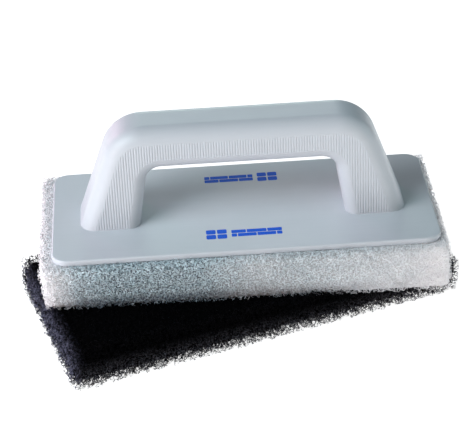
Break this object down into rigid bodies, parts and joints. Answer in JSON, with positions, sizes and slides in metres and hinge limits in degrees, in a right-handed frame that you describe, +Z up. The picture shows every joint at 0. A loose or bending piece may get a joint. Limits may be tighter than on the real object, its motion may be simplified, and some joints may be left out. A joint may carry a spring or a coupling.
{
  "type": "grout float",
  "caption": "Hand float with a bridge handle on a flat plate, gripping a white fibre washing pad, and resting on a loose black spare pad.",
  "frame": {"origin": "on the surface that the spare pad rests on, below the middle of the plate", "axes": "+X along the plate and the grip, +Y from the front of the tool to the back, +Z up from the rest surface"},
  "size_m": [0.2702, 0.1802, 0.1168],
  "materials": {
    "grey_plastic": "fine satin moulded plastic, light bluish grey",
    "white_fibre": "open nonwoven nylon fibre, undyed",
    "black_fibre": "open nonwoven nylon fibre, black, slightly glossy strands",
    "hook_nylon": "field of fine moulded hooks",
    "adhesive_film": "dull pressure-sensitive film",
    "screw_steel": "bright zinc plate",
    "blue_print": "flat printed ink"
  },
  "bodies": {
    "spare_pad": {"black_pad": "black_fibre"},
    "fitted_pad": {"white_pad": "white_fibre"},
    "holder": {"base_plate": "grey_plastic", "adhesive_sheet": "adhesive_film", "hook_sheet": "hook_nylon", "handle_front_half": "grey_plastic", "handle_back_half": "grey_plastic", "handle_screws": "screw_steel"}
  },
  "joints": [
    {"name": "float_lift", "type": "slide", "parent": "spare_pad", "child": "fitted_pad", "axis": [0, 0, 1], "range_m": [0, 0.1]},
    {"name": "pad_release", "type": "slide", "parent": "fitted_pad", "child": "holder", "axis": [0, 0, 1], "range_m": [0, 0.05]}
  ]
}
